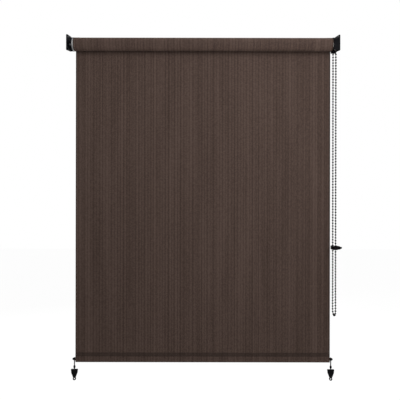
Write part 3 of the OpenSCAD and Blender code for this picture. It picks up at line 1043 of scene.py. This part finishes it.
# %% Hang the cords
def hang_cord(side):
    low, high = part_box(side + "_cord")
    top = Vector(((low.x + high.x) / 2, (low.y + high.y) / 2, high.z))
    length, diameter = high.z - low.z, high.x - low.x
    tube = cord_tube(side + "_elastic", top, length, diameter)
    cord = keep_piece(
        side + "_elastic", tube, BRAID, side + "_hold_down", "elastic", side + "_cord")
    print(side, "cord is", round(length / MM, 1), "mm long")


for side in ("left", "right"):
    hang_cord(side)

# %% [markdown]
# ## Studio
#
# The photograph has a plain white ground. More light would whiten a floor, but it would bleach the cloth
# as well. So the floor and the world are white only where the camera or a reflection looks at them, and
# the floor still keeps a part of the shade's shadow.

# %% What the camera sees
SEEN_RAYS = ("Is Camera Ray", "Is Glossy Ray", "Is Transmission Ray")
print("white for", len(SEEN_RAYS), "kinds of ray")


def seen_directly(net):
    direct, *others = [net.node("ShaderNodeLightPath", {}, {}, ray) for ray in SEEN_RAYS]
    for ray in others:
        direct = direct.most(ray)
    return direct


# %% Lay the floor
FLOOR_BELOW = 0.04
FLOOR_HALF = 7.0
FLOOR_DARK = (0.6, 0.6, 0.6, 1)
FLOOR_PALE = (0.64, 0.64, 0.64, 1)
FLOOR_GRAIN = 8.0
FLOOR_SHARE = 0.86
FLOOR_GLOW = 1.12


def floor_finish():
    ground = Finish("studio_floor")
    paper = ground.noise(ground.places(), FLOOR_GRAIN, FINE_DETAIL)
    matt = ground.principled(
        Base_Color=ground.mix(paper, FLOOR_DARK, FLOOR_PALE), Roughness=0.95)
    glow = ground.node("ShaderNodeEmission", {}, {"Strength": FLOOR_GLOW})
    share = seen_directly(ground) * FLOOR_SHARE
    return ground.close(ground.node("ShaderNodeMixShader", {}, {"Fac": share, 1: matt, 2: glow}))


floor_z = cad_box[0].z - FLOOR_BELOW
floor_corners = [(-1, -1), (1, -1), (1, 1), (-1, 1)]
floor_mesh = bpy.data.meshes.new("studio_floor")
floor_mesh.from_pydata(
    [(x * FLOOR_HALF, y * FLOOR_HALF, floor_z) for x, y in floor_corners], [], [(0, 1, 2, 3)])
floor_mesh.materials.append(floor_finish())
add_object("studio_floor", floor_mesh)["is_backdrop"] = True
print("floor at", round(floor_z, 3), "m")

# %% Whiten the world
WHITE_LIGHT = (1, 1, 1, 1)
WORLD_FILL = 0.12
WORLD_WHITE = 1.0


def white_world():
    world = bpy.data.worlds.new("white_studio")
    world.use_nodes = True
    sky = Net(world.node_tree)
    sky.tree.nodes.clear()
    fill, plain = [
        sky.node("ShaderNodeBackground", {}, {"Color": WHITE_LIGHT, "Strength": strength})
        for strength in (WORLD_FILL, WORLD_WHITE)
    ]
    both = sky.node("ShaderNodeMixShader", {}, {"Fac": seen_directly(sky), 1: fill, 2: plain})
    sky.node("ShaderNodeOutputWorld", {}, {"Surface": both})
    return world


bpy.context.scene.world = white_world()
print("world lights the shade at", WORLD_FILL)

# %% [markdown]
# ## Lamps
#
# The light in the photograph is soft and comes from above and in front, so the cloth gets a little darker
# towards its lower edge. One sun would give hard shadows, so wide area lamps stand in for softboxes: a key
# at the height of the roll, a weak fill below it, and one behind for the other side. Their level is one at
# which a colour renders about as it is written.

# %% Hang the lamps
def soft_lamp(name, place, aim, size, watts):
    lamp = add_object(name, bpy.data.lights.new(name, "AREA"))
    lamp.data.shape = "RECTANGLE"
    lamp.data.size, lamp.data.size_y = size
    lamp.data.energy = watts
    lamp.visible_camera = False
    lamp.location = place
    beam = Vector(aim) - Vector(place)
    lamp.rotation_euler = beam.to_track_quat("-Z", "Y").to_euler()
    print("lamp", name, watts, "W at", round(beam.length, 2), "m")


middle_z = (cad_box[0].z + cad_box[1].z) / 2
key_aim_z, fill_aim_z = 0.4 * middle_z, 0.3 * middle_z
soft_lamp("key_front", place=(0.6, -1.6, 0.05), aim=(0, -0.05, key_aim_z), size=(2.2, 1.5), watts=43)
soft_lamp("fill_low", place=(0.6, -3.2, -1.1), aim=(0, 0, fill_aim_z), size=(2.0, 0.9), watts=5)
soft_lamp("fill_back", place=(-0.6, 1.8, 0.05), aim=(0, 0, key_aim_z), size=(2.2, 1.5), watts=36)
bpy.context.scene.view_settings.view_transform = "Standard"

# %% [markdown]
# ## Sizes at the end
#
# A dressed piece can grow past its solid without being noticed, by a bevel, a thickness or a wave. The
# render would not show it. So the box of the dressed shade is printed here, as the box of its solids is at
# the start; it may pass that only by the little that cloth stands proud.

# %% Print the box of the dressed shade
seen_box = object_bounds()
print("visual box:", rounded([*seen_box[0], *seen_box[1]], 4))
